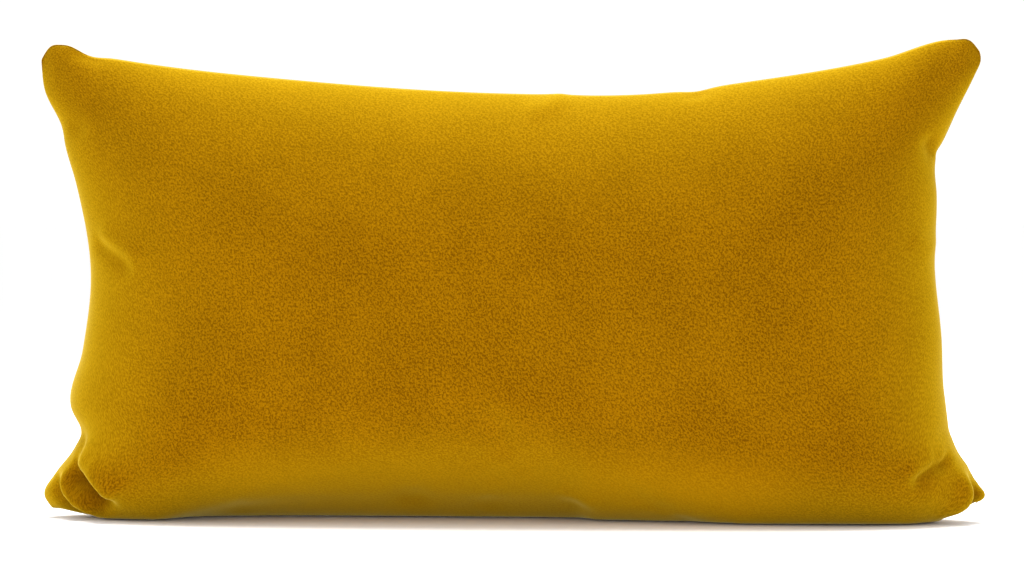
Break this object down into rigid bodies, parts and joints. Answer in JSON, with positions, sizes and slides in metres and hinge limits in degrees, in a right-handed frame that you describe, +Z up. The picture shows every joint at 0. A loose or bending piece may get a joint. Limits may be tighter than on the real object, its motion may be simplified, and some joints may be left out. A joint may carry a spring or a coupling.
{
  "type": "throw pillow",
  "caption": "Lumbar throw pillow in mustard velvet with knife-edge seams, a concealed zip in the bottom seam and a removable filled insert.",
  "frame": {"origin": "centre of the bounding box's lowest face, on the surface the pillow stands on", "axes": "+Z up, +X to the right along the long edge as the front is seen, the front faces -Y"},
  "size_m": [0.557, 0.1418, 0.2853],
  "materials": {
    "velvet": "matte",
    "cover_thread": "matte",
    "label_satin": "satin",
    "zip_tape": "matte",
    "zip_coil": "satin",
    "zip_thread": "matte",
    "zip_metal": "satin",
    "ticking": "matte",
    "casing_thread": "matte",
    "fibre_fill": "matte",
    "label_paper": "matte"
  },
  "bodies": {
    "root": {"cover_front_panel": "velvet", "cover_back_panel": "velvet", "cover_seam_thread": "cover_thread", "care_label": "label_satin", "zip_tape_front": "zip_tape", "zip_tape_back": "zip_tape", "zip_coil_front": "zip_coil", "zip_coil_back": "zip_coil", "zip_stitching": "zip_thread", "zip_bottom_stop": "zip_metal", "zip_top_stops": "zip_metal", "insert_casing_front": "ticking", "insert_casing_back": "ticking", "insert_seam_thread": "casing_thread", "insert_closing_stitches": "casing_thread", "insert_fill": "fibre_fill", "insert_label": "label_paper"},
    "slider": {"zip_slider": "zip_metal"},
    "pull": {"zip_pull": "zip_metal"}
  },
  "joints": [
    {"name": "slider_slide", "type": "slide", "parent": "root", "child": "slider", "axis": [1, 0, 0], "range_m": [0, 0.345]},
    {"name": "pull_swing", "type": "hinge", "parent": "slider", "child": "pull", "pos_m": [-0.1725, 0.04614, 0.00836], "axis": [0, -0.7476, -0.6641], "range_deg": [-90, 90]}
  ]
}
